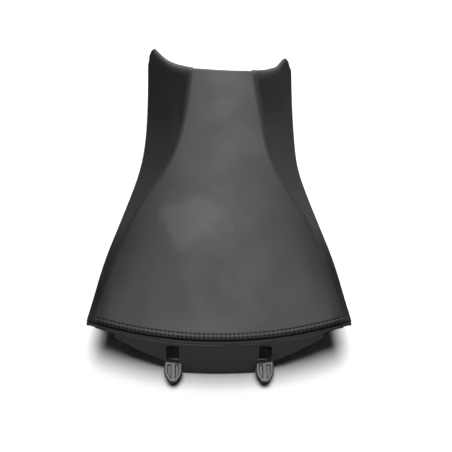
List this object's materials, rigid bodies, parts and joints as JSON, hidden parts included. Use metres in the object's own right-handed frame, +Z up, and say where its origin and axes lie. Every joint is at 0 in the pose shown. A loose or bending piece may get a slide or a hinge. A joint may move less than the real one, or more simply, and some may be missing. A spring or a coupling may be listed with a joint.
{
  "type": "motorcycle rider seat",
  "caption": "Saddle-shaped motorcycle rider seat: sewn black cover over foam on a moulded pan, hollowed for the tank between its ears, with rear tongues and rubber feet.",
  "frame": {"origin": "middle of the seat's box, at the level of the surface it stands on", "axes": "+Y towards the tank, +X to the rider's right, +Z up"},
  "size_m": [0.301, 0.4834, 0.1279],
  "materials": {
    "pan": "satin moulded",
    "cover": "satin grained vinyl",
    "foam": "open-cell foam",
    "steel": "black e-coat",
    "screw": "zinc plated",
    "rubber": "moulded rubber"
  },
  "bodies": {
    "root": {"seat_pan": "pan", "foam_pad": "foam", "main_cover": "cover", "rear_band": "cover", "front_tongue": "steel", "tongue_screw_left": "screw", "tongue_screw_right": "screw", "foot_front_left": "rubber", "foot_front_right": "rubber", "foot_middle_left": "rubber", "foot_middle_right": "rubber", "foot_rear_left": "rubber", "foot_rear_right": "rubber"}
  },
  "joints": []
}
